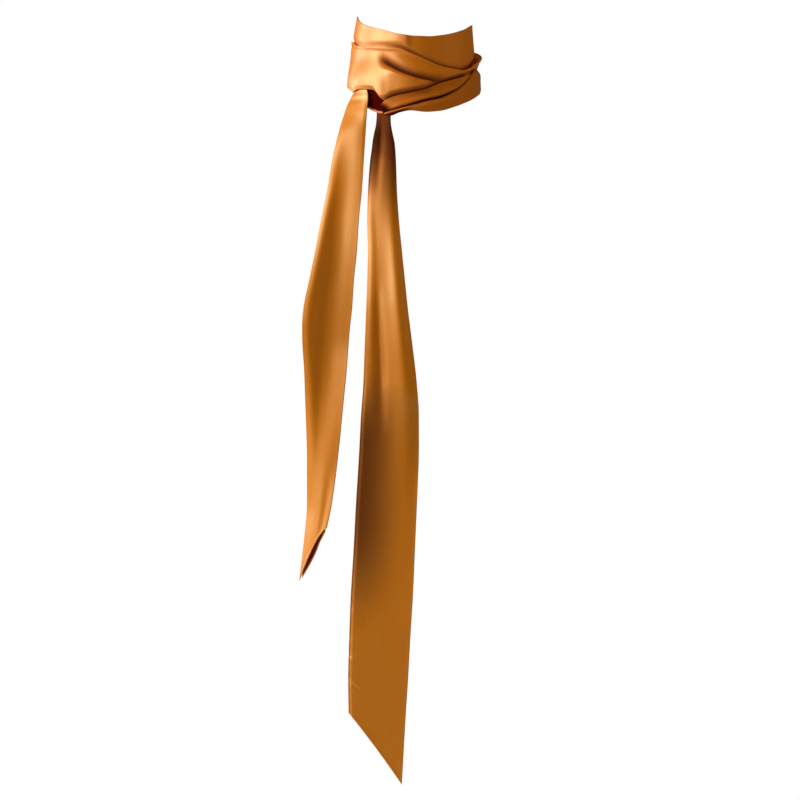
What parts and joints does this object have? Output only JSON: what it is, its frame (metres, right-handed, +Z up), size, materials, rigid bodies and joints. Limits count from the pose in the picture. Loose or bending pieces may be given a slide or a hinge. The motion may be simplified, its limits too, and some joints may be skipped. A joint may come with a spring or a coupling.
{
  "type": "skinny silk scarf",
  "caption": "Narrow satin neck scarf, wound round the neck and knotted at the front left, with a short and a long hanging tail that end in slanted cuts.",
  "frame": {"origin": "middle of the neck hollow, level with the middle of the wound part", "axes": "+Z up along the neck, -Y towards the front of the wearer, +X to the wearer's left, which is the viewer's right"},
  "size_m": [0.1717, 0.1751, 0.7219],
  "materials": {
    "silk_satin": "amber silk satin, smooth and softly shiny"
  },
  "bodies": {
    "root": {"inner_turn": "silk_satin", "outer_turn": "silk_satin", "crossing_band": "silk_satin", "lower_strand": "silk_satin", "knot_tuck": "silk_satin", "short_tail": "silk_satin", "short_tail_back_ply": "silk_satin", "long_tail": "silk_satin"}
  },
  "joints": []
}
